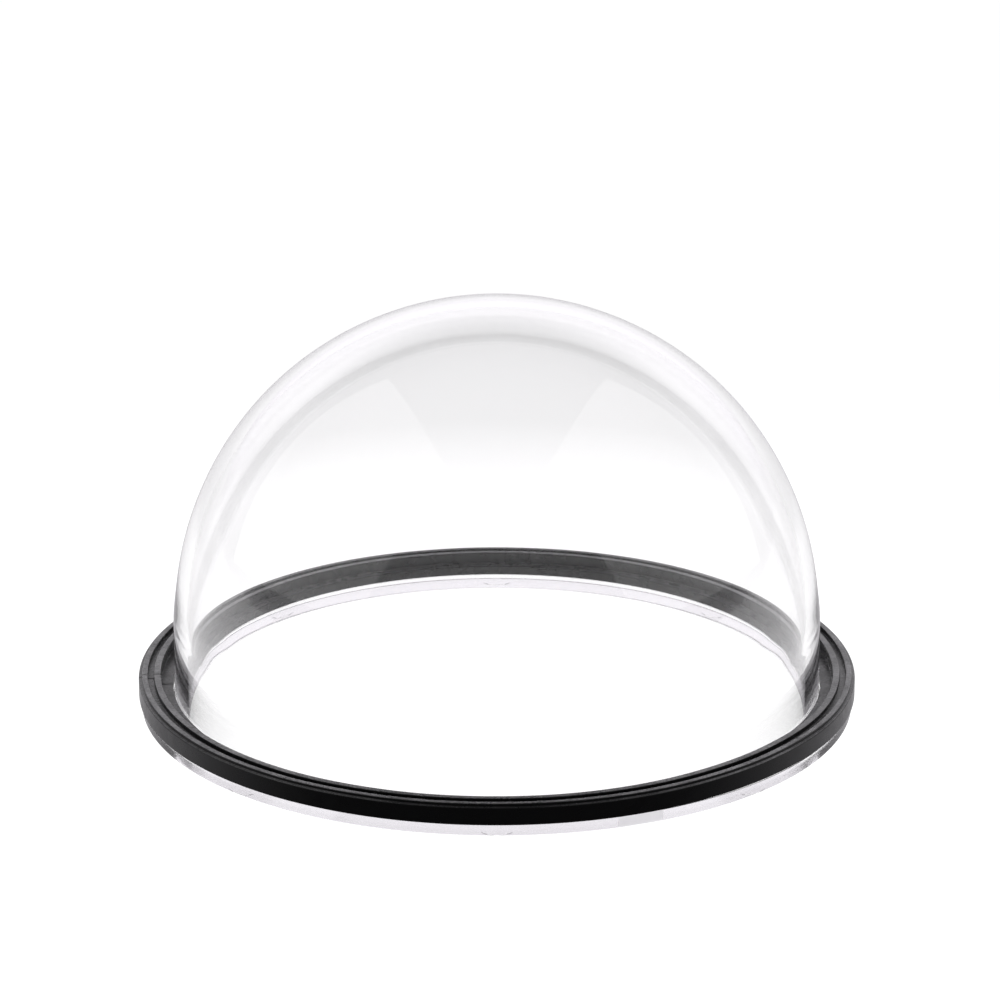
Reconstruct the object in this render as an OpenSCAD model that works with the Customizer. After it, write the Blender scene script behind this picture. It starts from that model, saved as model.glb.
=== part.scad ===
// Clear dome cover with a ribbed rubber seal ring.
// Origin: centre of the flange underside. +Z runs up the dome's axis.

/* [Dome] */
// Outside radius of the hemisphere
dome_r = 68.1; // [66:0.1:68.6]
// Height of the hemisphere's centre above the flange underside
dome_centre_h = 18.3; // [14:0.1:26]
// Outside radius of the upright skirt below the hemisphere
skirt_r = 68.4; // [68.3:0.05:69]
// Height over which the skirt draws in to the hemisphere
blend_h = 6; // [3:0.5:8]
// Inside radius of the hemisphere and of the skirt below it
inside_r = 65.5; // [64:0.1:66]

/* [Flange] */
// Outside radius of the flange
flange_r = 75.4; // [75.2:0.1:76.1]
// Thickness of the flange
flange_t = 2.4; // [1.5:0.1:4]
// Chamfer on the flange's rim and on the inner foot edge
rim_chamfer = 0.1; // [0.1:0.05:0.5]

/* [Moulding marks] */
// Number of round ejector marks under the flange
mark_count = 8; // [4:1:12]
// Diameter of an ejector mark
mark_d = 6.2; // [4:0.2:6.6]
// Depth of an ejector mark
mark_depth = 0.05; // [0.05:0.05:0.3]
// Radius of the circle that the ejector marks lie on
mark_circle_r = 71.9; // [71:0.1:72]
// Depth of the flat where the moulding gate was trimmed off the rim
gate_depth = 0.17; // [0.05:0.01:0.3]
// Angle of the gate flat from +X, counter-clockwise seen from above
gate_angle = -67.7; // [-180:0.1:180]

/* [Seal ring] */
// Outside radius of the seal ring
seal_r = 76; // [75.95:0.05:78]
// Gap between the seal ring's bore and the skirt
seal_gap = 0.3; // [0.2:0.05:1.1]
// Width of the outer ledge
ledge_w = 0.7; // [0.6:0.05:1.2]
// Width of the outer rib
outer_rib_w = 1.25; // [0.8:0.05:1.5]
// Width of the groove between the ribs
groove_w = 1.3; // [0.8:0.05:1.4]
// Width of the inner rib
inner_rib_w = 1.45; // [1:0.05:1.7]
// Height of the ledge above the ring's underside
ledge_h = 3.8; // [2.5:0.05:3.9]
// Height of the outer rib above the ring's underside
outer_rib_h = 4.4; // [4:0.05:5]
// Height of the groove's floor above the ring's underside
groove_h = 3.45; // [2.5:0.05:3.6]
// Height of the inner rib above the ring's underside
inner_rib_h = 4.45; // [4.2:0.05:5]
// Height of the inner land, next to the skirt, above the ring's underside
land_h = 2.1; // [1.5:0.05:4]
// Chamfer that breaks each corner of the ring
edge_break = 0.2; // [0.05:0.05:0.3]

/* [Hidden] */
$fn = 160;

// Overshoot that keeps the faces of a cut clear of the solid's faces
cut = 1;
// How far the blend cone's small end lies inside the hemisphere, so that the two cross cleanly
blend_tuck = 0.1;

// Radii of the seal ring's steps, from the rim inwards
outer_rib_out = seal_r - ledge_w;
outer_rib_in = outer_rib_out - outer_rib_w;
inner_rib_out = outer_rib_in - groove_w;
inner_rib_in = inner_rib_out - inner_rib_w;
seal_bore_r = skirt_r + seal_gap;

// Hemisphere over the height of its centre
module hemisphere(r) {
    translate([0, 0, dome_centre_h])
        intersection() {
            sphere(r = r);
            cylinder(r = r + cut, h = r + cut);
        }
}

// Upright skirt with a short cone on top that draws in to the hemisphere
module skirt() {
    neck_r = sqrt(dome_r * dome_r - blend_h * blend_h) - blend_tuck;
    cylinder(r = skirt_r, h = dome_centre_h);
    translate([0, 0, dome_centre_h])
        cylinder(r1 = skirt_r, r2 = neck_r, h = blend_h);
}

// Space inside the dome, open through the flange, with its foot edge chamfered
module hollow() {
    hemisphere(inside_r);
    translate([0, 0, -cut])
        cylinder(r = inside_r, h = dome_centre_h + cut);
    translate([0, 0, -cut])
        cylinder(r1 = inside_r + rim_chamfer + cut, r2 = inside_r, h = rim_chamfer + cut);
}

// Solid disc with both edges of its rim chamfered
module flange_disc() {
    rotate_extrude()
        polygon([
            [0, 0],
            [flange_r - rim_chamfer, 0],
            [flange_r, rim_chamfer],
            [flange_r, flange_t - rim_chamfer],
            [flange_r - rim_chamfer, flange_t],
            [0, flange_t]
        ]);
}

// Shallow round marks that the ejector pins leave in the flange underside.
// One of them is at the front, on the -Y side.
module ejector_marks() {
    for (i = [0 : mark_count - 1])
        rotate([0, 0, 360 / mark_count * i - 90])
            translate([mark_circle_r, 0, -cut])
                cylinder(d = mark_d, h = cut + mark_depth);
}

// Flat on the rim where the gate was trimmed off
module gate_flat() {
    rotate([0, 0, gate_angle])
        translate([flange_r - gate_depth, -flange_r / 4, -cut])
            cube([cut, flange_r / 2, flange_t + 2 * cut]);
}

// Clear moulding in one piece: hemisphere, skirt and flange
module dome() {
    color([0.90, 0.92, 0.95, 0.35])
        difference() {
            union() {
                hemisphere(dome_r);
                skirt();
                flange_disc();
            }
            hollow();
            ejector_marks();
            gate_flat();
        }
}

// A rib's outline from its outer foot to its inner foot, with both top corners broken
function rib(outer, inner, top, outer_foot, inner_foot) = [
    [outer, outer_foot],
    [outer, top - edge_break],
    [outer - edge_break, top],
    [inner + edge_break, top],
    [inner, top - edge_break],
    [inner, inner_foot]
];

// Black rubber ring that lies on the flange around the skirt
module seal_ring() {
    outline = concat(
        [
            [seal_bore_r, edge_break],
            [seal_bore_r + edge_break, 0],
            [seal_r - edge_break, 0],
            [seal_r, edge_break],
            [seal_r, ledge_h - edge_break],
            [seal_r - edge_break, ledge_h]
        ],
        rib(outer_rib_out, outer_rib_in, outer_rib_h, ledge_h, groove_h),
        rib(inner_rib_out, inner_rib_in, inner_rib_h, groove_h, land_h),
        [
            [seal_bore_r + edge_break, land_h],
            [seal_bore_r, land_h - edge_break]
        ]
    );
    color([0.07, 0.07, 0.075])
        translate([0, 0, flange_t])
            rotate_extrude()
                polygon(outline);
}

dome();
seal_ring();
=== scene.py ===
"""Clear dome cover with a ribbed rubber seal ring, on a pale studio floor."""
import math

import bmesh
import bpy
from mathutils import Matrix, Vector, noise


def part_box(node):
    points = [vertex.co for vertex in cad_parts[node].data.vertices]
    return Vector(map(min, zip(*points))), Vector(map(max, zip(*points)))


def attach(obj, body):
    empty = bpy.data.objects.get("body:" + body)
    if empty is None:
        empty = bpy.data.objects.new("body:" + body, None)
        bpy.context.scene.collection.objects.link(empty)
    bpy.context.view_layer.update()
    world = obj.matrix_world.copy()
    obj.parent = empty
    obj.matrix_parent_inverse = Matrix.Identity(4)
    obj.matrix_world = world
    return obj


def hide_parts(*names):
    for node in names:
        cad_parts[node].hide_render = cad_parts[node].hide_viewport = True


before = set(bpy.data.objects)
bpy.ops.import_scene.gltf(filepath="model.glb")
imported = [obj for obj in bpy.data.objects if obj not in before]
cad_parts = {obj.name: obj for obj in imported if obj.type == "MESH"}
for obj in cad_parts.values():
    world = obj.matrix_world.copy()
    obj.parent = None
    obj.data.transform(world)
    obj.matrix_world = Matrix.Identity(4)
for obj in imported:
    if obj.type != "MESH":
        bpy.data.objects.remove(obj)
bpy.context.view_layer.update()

MM = 0.001

# ---------------------------------------------------------------- sizes, in metres

dome_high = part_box("dome")[1]
seal_low, seal_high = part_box("seal_ring")

CROWN_Z = dome_high.z
FLANGE_R = 75.4 * MM
FLANGE_T = seal_low.z
DOME_R = 68.1 * MM
DOME_CENTRE_Z = CROWN_Z - DOME_R
SKIRT_R = 68.4 * MM
HOLLOW_R = 65.4 * MM
INSIDE_R = 65.6 * MM
FLARE_H = 8.0 * MM
EDGE_ROUND = 0.1 * MM
NECK_FILLET = 0.3 * MM

MARK_COUNT = 8
MARK_R = 3.1 * MM
MARK_DEPTH = 0.05 * MM
MARK_CIRCLE_R = 71.9 * MM
GATE_DEPTH = 0.17 * MM
GATE_ANGLE = math.radians(-67.7)
GATE_TOLERANCE = 0.01 * MM

SEAL_R = seal_high.x
SEAL_BORE_R = SKIRT_R + 0.3 * MM
SEAL_FOOT_Z = FLANGE_T + 0.02 * MM
LEDGE_Z = FLANGE_T + 3.8 * MM
OUTER_RIB_Z = FLANGE_T + 4.4 * MM
GROOVE_Z = FLANGE_T + 3.45 * MM
INNER_RIB_Z = seal_high.z
LAND_Z = FLANGE_T + 2.1 * MM
OUTER_RIB = (SEAL_R - 0.7 * MM, SEAL_R - 1.95 * MM)
INNER_RIB = (SEAL_R - 3.25 * MM, SEAL_R - 4.7 * MM)

# The ring was joined end to end: a thin seam runs across its section.
SEAM_ANGLE = math.radians(184)
SEAM_HALF_WIDTH = 0.22 * MM
SEAM_DEPTH = 0.12 * MM

# The loose ring rides up a little over one stretch of the flange.
LIFT_ANGLE = math.radians(-40)
LIFT_SPREAD = math.radians(24)
LIFT_HEIGHT = 0.45 * MM

# The ring's free upper half is slightly wavy: height, waviness round the turn, place in the noise
WAVE_HEIGHT = 0.05 * MM
WAVE_COUNT = 4
WAVE_OFFSET = Vector((7.3, 1.1, 0))


# ---------------------------------------------------------------- mesh helpers

def fillet(corners, steps=5):
    """Polyline through the (r, z, radius) corners of an open outline, with each corner rounded."""
    points = []
    last = len(corners) - 1
    for i, (r, z, radius) in enumerate(corners):
        here = Vector((r, z))
        if radius == 0 or i in (0, last):
            points.append(here)
            continue
        before = (Vector(corners[i - 1][:2]) - here).normalized()
        after = (Vector(corners[i + 1][:2]) - here).normalized()
        half = before.angle(after) / 2
        reach = radius / math.tan(half)
        centre = here + (before + after).normalized() * (radius / math.sin(half))
        start = here + before * reach - centre
        end = here + after * reach - centre
        turn = start.angle_signed(end)
        for k in range(steps + 1):
            spun = Matrix.Rotation(-turn * k / steps, 2) @ start
            points.append(centre + spun)
    return points


def even_turn(count):
    """Azimuths of a full turn in equal steps."""
    return [2 * math.pi * k / count for k in range(count)]


def lathe(name, outline, azimuths):
    """Closed surface of revolution about Z from a closed outline of (r, z).

    Points on the axis become poles.
    """
    bm = bmesh.new()
    rings = []
    for r, z in outline:
        if r < 1e-7:
            rings.append([bm.verts.new((0, 0, z))])
        else:
            rings.append([bm.verts.new((r * math.cos(a), r * math.sin(a), z)) for a in azimuths])
    for i, low in enumerate(rings):
        high = rings[(i + 1) % len(rings)]
        if len(low) == 1 and len(high) == 1:
            continue
        for k in range(len(azimuths)):
            n = (k + 1) % len(azimuths)
            if len(low) == 1:
                bm.faces.new((low[0], high[n], high[k]))
            elif len(high) == 1:
                bm.faces.new((low[k], low[n], high[0]))
            else:
                bm.faces.new((low[k], low[n], high[n], high[k]))
    bmesh.ops.recalc_face_normals(bm, faces=bm.faces)
    return piece_from(bm, name)


def piece_from(bm, name):
    mesh = bpy.data.meshes.new(name)
    bm.to_mesh(mesh)
    bm.free()
    piece = bpy.data.objects.new(name, mesh)
    bpy.context.collection.objects.link(piece)
    return piece


def smooth(piece, limit=35):
    """Smooth shading, with flat faces kept flat and edges sharper than the limit kept crisp."""
    bm = bmesh.new()
    bm.from_mesh(piece.data)
    for face in bm.faces:
        face.smooth = True
    for edge in bm.edges:
        edge.smooth = len(edge.link_faces) != 2 or edge.calc_face_angle(0) < math.radians(limit)
    bm.to_mesh(piece.data)
    bm.free()
    weighted = piece.modifiers.new("weighted", "WEIGHTED_NORMAL")
    weighted.keep_sharp = True
    apply_modifier(piece, weighted)


def apply_modifier(piece, modifier):
    bpy.context.view_layer.objects.active = piece
    bpy.ops.object.modifier_apply(modifier=modifier.name)


def carve(piece, tool):
    """Cuts the tool out of the piece and removes the tool."""
    cut = piece.modifiers.new("carve", "BOOLEAN")
    cut.operation = "DIFFERENCE"
    cut.solver = "EXACT"
    cut.object = tool
    apply_modifier(piece, cut)
    bpy.data.objects.remove(tool)


def ease(t):
    """Smooth step from 0 to 1."""
    t = min(max(t, 0.0), 1.0)
    return t * t * (3 - 2 * t)


def angle_between(a, b):
    """Unsigned difference of two azimuths."""
    return abs((a - b + math.pi) % (2 * math.pi) - math.pi)


# ---------------------------------------------------------------- the dome

def bell_outline(sphere_r, foot_r, foot_z, steps=72):
    """Outline of a hemisphere on its slightly wider foot, from the crown to the middle of the foot."""
    points = []
    for k in range(steps + 1):
        a = math.pi / 2 * k / steps
        z = sphere_r * math.cos(a)
        flare = (foot_r - sphere_r) * ease(1 - z / FLARE_H)
        points.append(Vector((sphere_r * math.sin(a) + flare, DOME_CENTRE_Z + z)))
    points.append(Vector((foot_r, (DOME_CENTRE_Z + foot_z) / 2)))
    return points


def ejector_pins():
    """Short cylinders that leave the round ejector marks in the flange underside."""
    bm = bmesh.new()
    for k in range(MARK_COUNT):
        a = 2 * math.pi * k / MARK_COUNT
        place = Matrix.Translation((MARK_CIRCLE_R * math.cos(a), MARK_CIRCLE_R * math.sin(a), 0))
        bmesh.ops.create_cone(
            bm, cap_ends=True, segments=48, radius1=MARK_R, radius2=MARK_R, depth=2 * MARK_DEPTH, matrix=place
        )
    return piece_from(bm, "ejector_pins")


def make_dome():
    outer = bell_outline(DOME_R, SKIRT_R, FLANGE_T)
    inner = bell_outline(HOLLOW_R, INSIDE_R, 0)
    foot = fillet([
        (SKIRT_R, DOME_CENTRE_Z / 2, 0),
        (SKIRT_R, FLANGE_T, NECK_FILLET),
        (FLANGE_R, FLANGE_T, EDGE_ROUND),
        (FLANGE_R, 0, EDGE_ROUND),
        (INSIDE_R, 0, EDGE_ROUND),
        (INSIDE_R, DOME_CENTRE_Z / 2, 0),
    ])[1:-1]
    dome = lathe("dome_shell", outer + foot + inner[::-1], even_turn(288))
    gate = Vector((math.cos(GATE_ANGLE), math.sin(GATE_ANGLE), 0))
    for v in dome.data.vertices:
        over = v.co.dot(gate) - (FLANGE_R - GATE_DEPTH)
        if over > 0:
            v.co -= gate * over
    carve(dome, ejector_pins())
    return dome


def frost_gate(dome, slot):
    """Gives the trimmed gate flat on the rim the frosted material in that slot."""
    gate = Vector((math.cos(GATE_ANGLE), math.sin(GATE_ANGLE), 0))
    for face in dome.data.polygons:
        on_flat = face.center.dot(gate) > FLANGE_R - GATE_DEPTH - GATE_TOLERANCE
        if on_flat and face.normal.dot(gate) > 0.99:
            face.material_index = slot


# ---------------------------------------------------------------- the seal ring

def seal_outline():
    return fillet([
        (SEAL_BORE_R, (SEAL_FOOT_Z + LAND_Z) / 2, 0),
        (SEAL_BORE_R, SEAL_FOOT_Z, 0.2 * MM),
        (SEAL_R, SEAL_FOOT_Z, 0.2 * MM),
        (SEAL_R, LEDGE_Z, 0.25 * MM),
        (OUTER_RIB[0], LEDGE_Z, 0.1 * MM),
        (OUTER_RIB[0], OUTER_RIB_Z, 0.2 * MM),
        (OUTER_RIB[1], OUTER_RIB_Z, 0.2 * MM),
        (OUTER_RIB[1], GROOVE_Z, 0.12 * MM),
        (INNER_RIB[0], GROOVE_Z, 0.12 * MM),
        (INNER_RIB[0], INNER_RIB_Z, 0.2 * MM),
        (INNER_RIB[1], INNER_RIB_Z, 0.2 * MM),
        (INNER_RIB[1], LAND_Z, 0.12 * MM),
        (SEAL_BORE_R, LAND_Z, 0.2 * MM),
        (SEAL_BORE_R, (SEAL_FOOT_Z + LAND_Z) / 2, 0),
    ])[:-1]


def seal_azimuths():
    """A full turn in 1 degree steps, with fine steps across the seam."""
    half = SEAM_HALF_WIDTH / SEAL_R
    fine = [SEAM_ANGLE + half * k for k in (-2, -1, -0.5, 0, 0.5, 1, 2)]
    coarse = [a for a in even_turn(360) if angle_between(a, SEAM_ANGLE) > 3 * half]
    return sorted(coarse + fine)


def make_seal():
    seal = lathe("seal_ring_rubber", seal_outline(), seal_azimuths())
    middle_r = (SEAL_R + SEAL_BORE_R) / 2
    middle_z = (SEAL_FOOT_Z + LAND_Z) / 2
    for v in seal.data.vertices:
        azimuth = math.atan2(v.co.y, v.co.x)
        outward = Vector((math.cos(azimuth), math.sin(azimuth), 0))
        height = v.co.z
        # seam: the section shrinks towards its middle along a narrow line
        off = angle_between(azimuth, SEAM_ANGLE) * SEAL_R / SEAM_HALF_WIDTH
        if off < 1:
            middle = outward * middle_r + Vector((0, 0, middle_z))
            v.co += (middle - v.co).normalized() * SEAM_DEPTH * (1 - off)
        # soft unevenness of a long moulded strip, more in its free upper half
        loose = ease((height - SEAL_FOOT_Z) / (INNER_RIB_Z - SEAL_FOOT_Z))
        v.co.z += WAVE_HEIGHT * loose * noise.noise(outward * WAVE_COUNT + WAVE_OFFSET)
        # stretch that rides up on the flange
        rise = math.exp(-((angle_between(azimuth, LIFT_ANGLE) / LIFT_SPREAD) ** 2))
        v.co.z += LIFT_HEIGHT * rise
    return seal


# ---------------------------------------------------------------- materials

def new_material(name):
    material = bpy.data.materials.new(name)
    material.use_nodes = True
    tree = material.node_tree
    return material, tree.nodes, tree.links, tree.nodes["Principled BSDF"]


def noise_node(nodes, links, where, scale, detail=3.0, roughness=0.5):
    texture = nodes.new("ShaderNodeTexNoise")
    texture.inputs["Scale"].default_value = scale
    texture.inputs["Detail"].default_value = detail
    texture.inputs["Roughness"].default_value = roughness
    links.new(where, texture.inputs["Vector"])
    return texture.outputs["Fac"]


def remap(nodes, links, value, low, high, to_low, to_high):
    node = nodes.new("ShaderNodeMapRange")
    node.inputs["From Min"].default_value = low
    node.inputs["From Max"].default_value = high
    node.inputs["To Min"].default_value = to_low
    node.inputs["To Max"].default_value = to_high
    links.new(value, node.inputs["Value"])
    return node.outputs["Result"]


def add_math(nodes, links, operation, first, second):
    node = nodes.new("ShaderNodeMath")
    node.operation = operation
    for i, value in enumerate((first, second)):
        if isinstance(value, (int, float)):
            node.inputs[i].default_value = value
        else:
            links.new(value, node.inputs[i])
    return node.outputs[0]


def add_bump(nodes, links, height, distance, strength, below=None):
    node = nodes.new("ShaderNodeBump")
    node.inputs["Distance"].default_value = distance
    node.inputs["Strength"].default_value = strength
    links.new(height, node.inputs["Height"])
    if below is not None:
        links.new(below, node.inputs["Normal"])
    return node.outputs["Normal"]


def clear_acrylic():
    material, nodes, links, shader = new_material("clear_acrylic")
    place = nodes.new("ShaderNodeTexCoord").outputs["Object"]
    shader.inputs["Base Color"].default_value = (0.995, 0.993, 0.997, 1)
    shader.inputs["IOR"].default_value = 1.49
    shader.inputs["Transmission Weight"].default_value = 1.0

    shader.inputs["Sheen Weight"].default_value = 0.18
    shader.inputs["Sheen Roughness"].default_value = 0.35
    shader.inputs["Sheen Tint"].default_value = (0.86, 0.82, 0.88, 1)

    # faint smudges on the polished dome, and a flange that is left as moulded
    height = nodes.new("ShaderNodeSeparateXYZ")
    links.new(place, height.inputs[0])
    smudges = noise_node(nodes, links, place, 55, detail=4, roughness=0.6)
    polished = remap(nodes, links, smudges, 0.5, 0.75, 0.0, 0.03)
    moulded = remap(nodes, links, height.outputs["Z"], 2.0 * MM, 2.35 * MM, 0.05, 0)
    links.new(add_math(nodes, links, "ADD", polished, moulded), shader.inputs["Roughness"])

    # the faint mauve-grey of the plastic shows where the view runs along the wall
    tint = nodes.new("ShaderNodeVolumeAbsorption")
    tint.inputs["Color"].default_value = (0.52, 0.46, 0.55, 1)
    tint.inputs["Density"].default_value = 5.0
    links.new(tint.outputs[0], nodes["Material Output"].inputs["Volume"])
    return material


def frosted_acrylic():
    material, nodes, links, shader = new_material("frosted_acrylic")
    shader.inputs["Base Color"].default_value = (0.97, 0.97, 0.98, 1)
    shader.inputs["IOR"].default_value = 1.49
    shader.inputs["Transmission Weight"].default_value = 1.0
    shader.inputs["Roughness"].default_value = 0.45
    return material


def black_rubber():
    material, nodes, links, shader = new_material("black_rubber")
    place = nodes.new("ShaderNodeTexCoord").outputs["Object"]
    shader.inputs["IOR"].default_value = 1.5
    shader.inputs["Specular IOR Level"].default_value = 0.3

    # grey painted on the faces that look up: partly dust and scuffs, in fine speckles and longer worn
    # patches, partly a painted sheen for the bright grazing reflection of the rib tops. The ribs are
    # painted lighter than the ledge, groove and land (painted shade in those recesses), and the left
    # and right lighter than the front and back (painted light of the side softboxes).
    at = nodes.new("ShaderNodeSeparateXYZ")
    links.new(place, at.inputs[0])
    off_middle = add_math(nodes, links, "ABSOLUTE", at.outputs["X"], 0)
    # painted side light: the left and right of the ring take more grey than the front and back, for the light
    # of the side softboxes
    painted_side_light = remap(nodes, links, off_middle, 10 * MM, 55 * MM, 0.2, 1)
    # painted shade: the ledge, groove and land, recessed below the ribs, take half the grey of the rib tops
    painted_recess_shade = remap(nodes, links, at.outputs["Z"], LEDGE_Z + 0.1 * MM, OUTER_RIB_Z - 0.1 * MM, 0.5, 1)
    painted_light_mask = add_math(nodes, links, "MULTIPLY", painted_side_light, painted_recess_shade)
    normal = nodes.new("ShaderNodeSeparateXYZ")
    links.new(nodes.new("ShaderNodeNewGeometry").outputs["Normal"], normal.inputs[0])
    # faces that look up take the grey: partly dust, partly a painted sheen of the grazing-lit tops
    facing_up = remap(nodes, links, normal.outputs["Z"], 0.55, 0.95, 0, 1)
    patches = noise_node(nodes, links, place, 110, detail=5, roughness=0.6)
    speckles = noise_node(nodes, links, place, 1500, detail=3, roughness=0.7)
    worn = remap(nodes, links, patches, 0.35, 0.68, 0.35, 1)
    dusty = add_math(nodes, links, "MULTIPLY", worn, remap(nodes, links, speckles, 0.35, 0.65, 0.55, 1))
    colour = nodes.new("ShaderNodeMix")
    colour.data_type = "RGBA"
    colour.inputs["A"].default_value = (0.0045, 0.0044, 0.0048, 1)
    colour.inputs["B"].default_value = (0.55, 0.54, 0.56, 1)
    # dust and painted light together: speckled worn patches times the painted side light and recess shade
    dust_and_painted_light = add_math(nodes, links, "MULTIPLY", dusty, painted_light_mask)
    links.new(add_math(nodes, links, "MULTIPLY", facing_up, dust_and_painted_light), colour.inputs["Factor"])
    links.new(colour.outputs["Result"], shader.inputs["Base Color"])

    rub = noise_node(nodes, links, place, 300, detail=5, roughness=0.65)
    links.new(remap(nodes, links, rub, 0.3, 0.7, 0.22, 0.36), shader.inputs["Roughness"])

    grain = noise_node(nodes, links, place, 4200, detail=2)
    ripple = noise_node(nodes, links, place, 260, detail=3)
    soft = add_bump(nodes, links, ripple, 0.05 * MM, 0.35)
    links.new(add_bump(nodes, links, grain, 0.012 * MM, 0.5, below=soft), shader.inputs["Normal"])
    return material


dome = make_dome()
dome.data.materials.append(clear_acrylic())
dome.data.materials.append(frosted_acrylic())
frost_gate(dome, 1)
smooth(dome)
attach(dome, "dome")
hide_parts("dome")

seal = make_seal()
seal.data.materials.append(black_rubber())
smooth(seal)
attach(seal, "seal_ring")
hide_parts("seal_ring")


# ---------------------------------------------------------------- floor and light

FLOOR_RADIANCE = 1.2
FAR_FLOOR_RADIANCE = 1.01


def make_floor():
    """Pale floor that glows like a light table, brightest near the object. It lights nothing itself."""
    bpy.ops.mesh.primitive_plane_add(size=8, location=(0, 0, -0.0002))
    floor = bpy.context.object
    floor.name = "floor"
    material, nodes, links, shader = new_material("pale_floor")
    shader.inputs["Base Color"].default_value = (0, 0, 0, 1)
    shader.inputs["Specular IOR Level"].default_value = 0.0
    shader.inputs["Emission Color"].default_value = (1, 1, 1, 1)
    place = nodes.new("ShaderNodeSeparateXYZ")
    links.new(nodes.new("ShaderNodeTexCoord").outputs["Object"], place.inputs[0])
    glow = remap(nodes, links, place.outputs["Y"], 0.14, 0.20, FLOOR_RADIANCE, FAR_FLOOR_RADIANCE)
    links.new(glow, shader.inputs["Emission Strength"])
    floor.data.materials.append(material)
    floor.visible_glossy = False
    floor.visible_diffuse = False


# A softbox stands on either side and leans over the dome. Its panel is set by the direction
# from the dome to its centre line, its lean, and how far it reaches each way from that line.
SOFTBOX_DISTANCE = 1.5
SOFTBOX_TOWARDS = Vector((0.80, -0.10, 0.59)).normalized()
SOFTBOX_LEAN = Vector((-0.5617, 0.2175, 0.7985)).normalized()
SOFTBOX_BACKWARD = 0.72
SOFTBOX_FORWARD = 0.60
SOFTBOX_DOWN = 0.51
SOFTBOX_UP = 0.68
SOFTBOX_RADIANCE = 0.85

ROOM_RADIANCE = 0.06
FRONT_RADIANCE = 0.1
DARK_RADIANCE = 0.08
TABLE_RADIANCE = 0.72
BACKDROP_RADIANCE = 1.05


def softbox(name, side):
    outward = Vector((SOFTBOX_TOWARDS.x * side, SOFTBOX_TOWARDS.y, SOFTBOX_TOWARDS.z))
    up = Vector((SOFTBOX_LEAN.x * side, SOFTBOX_LEAN.y, SOFTBOX_LEAN.z))
    up = (up - outward * up.dot(outward)).normalized()
    across = up.cross(outward)
    backward = across if across.y > 0 else -across
    width = (SOFTBOX_BACKWARD + SOFTBOX_FORWARD) * SOFTBOX_DISTANCE
    height = (SOFTBOX_DOWN + SOFTBOX_UP) * SOFTBOX_DISTANCE
    light = bpy.data.lights.new(name, "AREA")
    light.shape = "RECTANGLE"
    light.size = width
    light.size_y = height
    light.energy = SOFTBOX_RADIANCE * math.pi * width * height
    lamp = bpy.data.objects.new(name, light)
    centre = outward + backward * (SOFTBOX_BACKWARD - SOFTBOX_FORWARD) / 2
    centre = centre + up * (SOFTBOX_UP - SOFTBOX_DOWN) / 2
    turn = Matrix((across, up, outward)).transposed()
    lamp.matrix_world = Matrix.Translation(centre * SOFTBOX_DISTANCE) @ turn.to_4x4()
    lamp.visible_camera = False
    lamp.visible_transmission = False
    bpy.context.collection.objects.link(lamp)


def make_studio():
    """Dim room, dark in front, with a bright backdrop low down behind and a bright table around."""
    world = bpy.data.worlds.new("studio")
    bpy.context.scene.world = world
    world.use_nodes = True
    nodes, links = world.node_tree.nodes, world.node_tree.links
    direction = nodes.new("ShaderNodeTexCoord").outputs["Generated"]
    axes = nodes.new("ShaderNodeSeparateXYZ")
    links.new(direction, axes.inputs[0])
    y, z = axes.outputs["Y"], axes.outputs["Z"]
    # below the horizon the table, above it the room, and the backdrop on top of both
    table = remap(nodes, links, y, -0.45, 0.45, DARK_RADIANCE, TABLE_RADIANCE)
    lower = add_math(nodes, links, "MULTIPLY", table, remap(nodes, links, z, -0.06, 0.06, 1, 0))
    room = remap(nodes, links, y, -0.3, 0.3, FRONT_RADIANCE, ROOM_RADIANCE)
    upper = add_math(nodes, links, "MULTIPLY", room, remap(nodes, links, z, -0.06, 0.06, 0, 1))
    behind = remap(nodes, links, y, 0.45, 0.8, 0, BACKDROP_RADIANCE)
    rising = add_math(nodes, links, "MULTIPLY", behind, remap(nodes, links, z, -0.06, 0.06, 0, 1))
    backdrop = add_math(nodes, links, "MULTIPLY", rising, remap(nodes, links, z, 0.36, 0.60, 1, 0))
    total = add_math(nodes, links, "ADD", add_math(nodes, links, "ADD", lower, upper), backdrop)
    links.new(total, nodes["Background"].inputs["Strength"])
    nodes["Background"].inputs["Color"].default_value = (0.985, 0.965, 1.0, 1)


make_floor()
make_studio()
softbox("softbox_left", -1)
softbox("softbox_right", 1)


# ---------------------------------------------------------------- camera

# The camera looks along +Y and down, from arm's length with a long lens.
CAMERA_ELEVATION = math.radians(20.448)
CAMERA_DISTANCE = 1.0645
VIEW_WIDTH = 211.45 * MM
LOOK_AT = Vector((0, 0, 25.5 * MM))
AIM_RIGHT = 0.68 * MM
AIM_UP = 17.61 * MM


def make_camera():
    data = bpy.data.cameras.new("camera")
    data.sensor_width = 36
    data.lens = data.sensor_width * CAMERA_DISTANCE / VIEW_WIDTH
    camera = bpy.data.objects.new("camera", data)
    bpy.context.collection.objects.link(camera)
    away = Vector((0, -math.cos(CAMERA_ELEVATION), math.sin(CAMERA_ELEVATION)))
    view_up = Vector((0, math.sin(CAMERA_ELEVATION), math.cos(CAMERA_ELEVATION)))
    camera.location = LOOK_AT + away * CAMERA_DISTANCE
    aim = LOOK_AT + Vector((AIM_RIGHT, 0, 0)) + view_up * AIM_UP
    camera.rotation_euler = (aim - camera.location).to_track_quat("-Z", "Y").to_euler()
    bpy.context.scene.camera = camera


make_camera()

scene = bpy.context.scene
scene.view_settings.view_transform = "Standard"
scene.cycles.use_denoising = True
scene.cycles.max_bounces = 24
scene.cycles.transmission_bounces = 24
scene.cycles.glossy_bounces = 8
